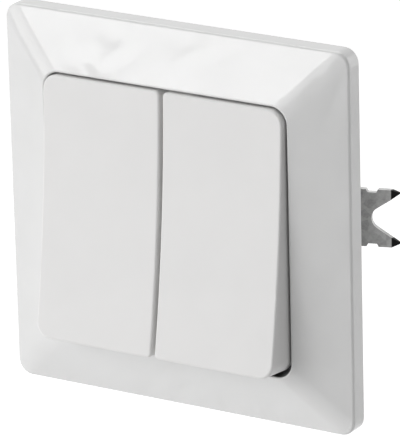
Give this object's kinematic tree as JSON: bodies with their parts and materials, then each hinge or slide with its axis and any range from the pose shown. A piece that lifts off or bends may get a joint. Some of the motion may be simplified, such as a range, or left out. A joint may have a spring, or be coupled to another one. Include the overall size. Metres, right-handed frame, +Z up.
{
  "type": "double light switch",
  "caption": "Square flush-mounted double light switch with two tilting rockers, a cover frame and a steel ring with claws.",
  "frame": {"origin": "middle of the switch in the plane of the wall", "axes": "+X to the right as seen from the room, +Y into the wall, +Z up"},
  "size_m": [0.082, 0.0427, 0.082],
  "materials": {
    "frame_plastic": "gloss white",
    "rocker_plastic": "satin white",
    "inner_plastic": "moulded",
    "housing_plastic": "moulded",
    "lever_plastic": "moulded",
    "ring_steel": "galvanised",
    "claw_steel": "galvanised",
    "spring_steel": "bright",
    "contact_brass": "stamped",
    "contact_silver": "silver",
    "rivet_brass": "plain"
  },
  "bodies": {
    "housing": {"cover_frame": "frame_plastic", "support_ring": "ring_steel", "frame_clips": "spring_steel", "socket_cover": "housing_plastic", "socket_base": "housing_plastic", "housing_rivets": "rivet_brass", "common_rail": "contact_brass", "outlet_rail_left": "contact_brass", "outlet_rail_right": "contact_brass", "fixed_contact_left": "contact_silver", "fixed_contact_right": "contact_silver", "clamp_spring_common": "spring_steel", "clamp_spring_left": "spring_steel", "clamp_spring_right": "spring_steel"},
    "right_rocker": {"rocker_right": "rocker_plastic", "rocker_carrier_right": "inner_plastic", "plunger_right": "inner_plastic", "plunger_spring_right": "spring_steel"},
    "right_contact": {"contact_rocker_right": "contact_brass", "moving_contact_right": "contact_silver"},
    "right_claw_screw": {"claw_screw_right": "claw_steel"},
    "right_claw_nut": {"claw_nut_right": "claw_steel"},
    "right_claw": {"claw_right": "claw_steel"},
    "left_rocker": {"rocker_left": "rocker_plastic", "rocker_carrier_left": "inner_plastic", "plunger_left": "inner_plastic", "plunger_spring_left": "spring_steel"},
    "left_contact": {"contact_rocker_left": "contact_brass", "moving_contact_left": "contact_silver"},
    "left_claw_screw": {"claw_screw_left": "claw_steel"},
    "left_claw_nut": {"claw_nut_left": "claw_steel"},
    "left_claw": {"claw_left": "claw_steel"},
    "common_lever": {"release_lever_common": "lever_plastic"},
    "right_lever": {"release_lever_right": "lever_plastic"},
    "left_lever": {"release_lever_left": "lever_plastic"}
  },
  "joints": [
    {"name": "right_rocker_tilt", "type": "hinge", "parent": "housing", "child": "right_rocker", "pos_m": [0, -0.0045, 0], "axis": [1, 0, 0], "range_deg": [0, 12.4]},
    {"name": "right_contact_swing", "type": "hinge", "parent": "housing", "child": "right_contact", "pos_m": [0, 0.012, 0], "axis": [1, 0, 0], "range_deg": [-18.61, 0]},
    {"name": "right_claw_screw_turn", "type": "hinge", "parent": "housing", "child": "right_claw_screw", "pos_m": [0.0235, 0, 0], "axis": [0, -1, 0], "range_deg": [0, 5040.1]},
    {"name": "right_claw_nut_travel", "type": "slide", "parent": "housing", "child": "right_claw_nut", "axis": [0, 1, 0], "range_m": [0, 0.007]},
    {"name": "right_claw_swing", "type": "hinge", "parent": "housing", "child": "right_claw", "pos_m": [0.0209, 0.0103, 0], "axis": [0, 0, 1], "range_deg": [0, 46.51]},
    {"name": "left_rocker_tilt", "type": "hinge", "parent": "housing", "child": "left_rocker", "pos_m": [0, -0.0045, 0], "axis": [1, 0, 0], "range_deg": [0, 12.4]},
    {"name": "left_contact_swing", "type": "hinge", "parent": "housing", "child": "left_contact", "pos_m": [0, 0.012, 0], "axis": [1, 0, 0], "range_deg": [-18.61, 0]},
    {"name": "left_claw_screw_turn", "type": "hinge", "parent": "housing", "child": "left_claw_screw", "pos_m": [-0.0235, 0, 0], "axis": [0, -1, 0], "range_deg": [0, 5040.1]},
    {"name": "left_claw_nut_travel", "type": "slide", "parent": "housing", "child": "left_claw_nut", "axis": [0, 1, 0], "range_m": [0, 0.007]},
    {"name": "left_claw_swing", "type": "hinge", "parent": "housing", "child": "left_claw", "pos_m": [-0.0209, 0.0103, 0], "axis": [0, 0, -1], "range_deg": [0, 46.51]},
    {"name": "common_lever_push", "type": "slide", "parent": "housing", "child": "common_lever", "axis": [0, -1, 0], "range_m": [0, 0.001], "stiffness_N_per_m": 300},
    {"name": "right_lever_push", "type": "slide", "parent": "housing", "child": "right_lever", "axis": [0, -1, 0], "range_m": [0, 0.001], "stiffness_N_per_m": 300},
    {"name": "left_lever_push", "type": "slide", "parent": "housing", "child": "left_lever", "axis": [0, -1, 0], "range_m": [0, 0.001], "stiffness_N_per_m": 300}
  ],
  "couplings": [
    {"joint": "right_contact_swing", "follows": "right_rocker_tilt", "ratio": -1.5},
    {"joint": "right_claw_screw_turn", "follows": "right_claw_nut_travel", "rad_per_m": 12566},
    {"joint": "right_claw_swing", "follows": "right_claw_nut_travel", "rad_per_m": 115.94},
    {"joint": "left_contact_swing", "follows": "left_rocker_tilt", "ratio": -1.5},
    {"joint": "left_claw_screw_turn", "follows": "left_claw_nut_travel", "rad_per_m": 12566},
    {"joint": "left_claw_swing", "follows": "left_claw_nut_travel", "rad_per_m": 115.94}
  ]
}
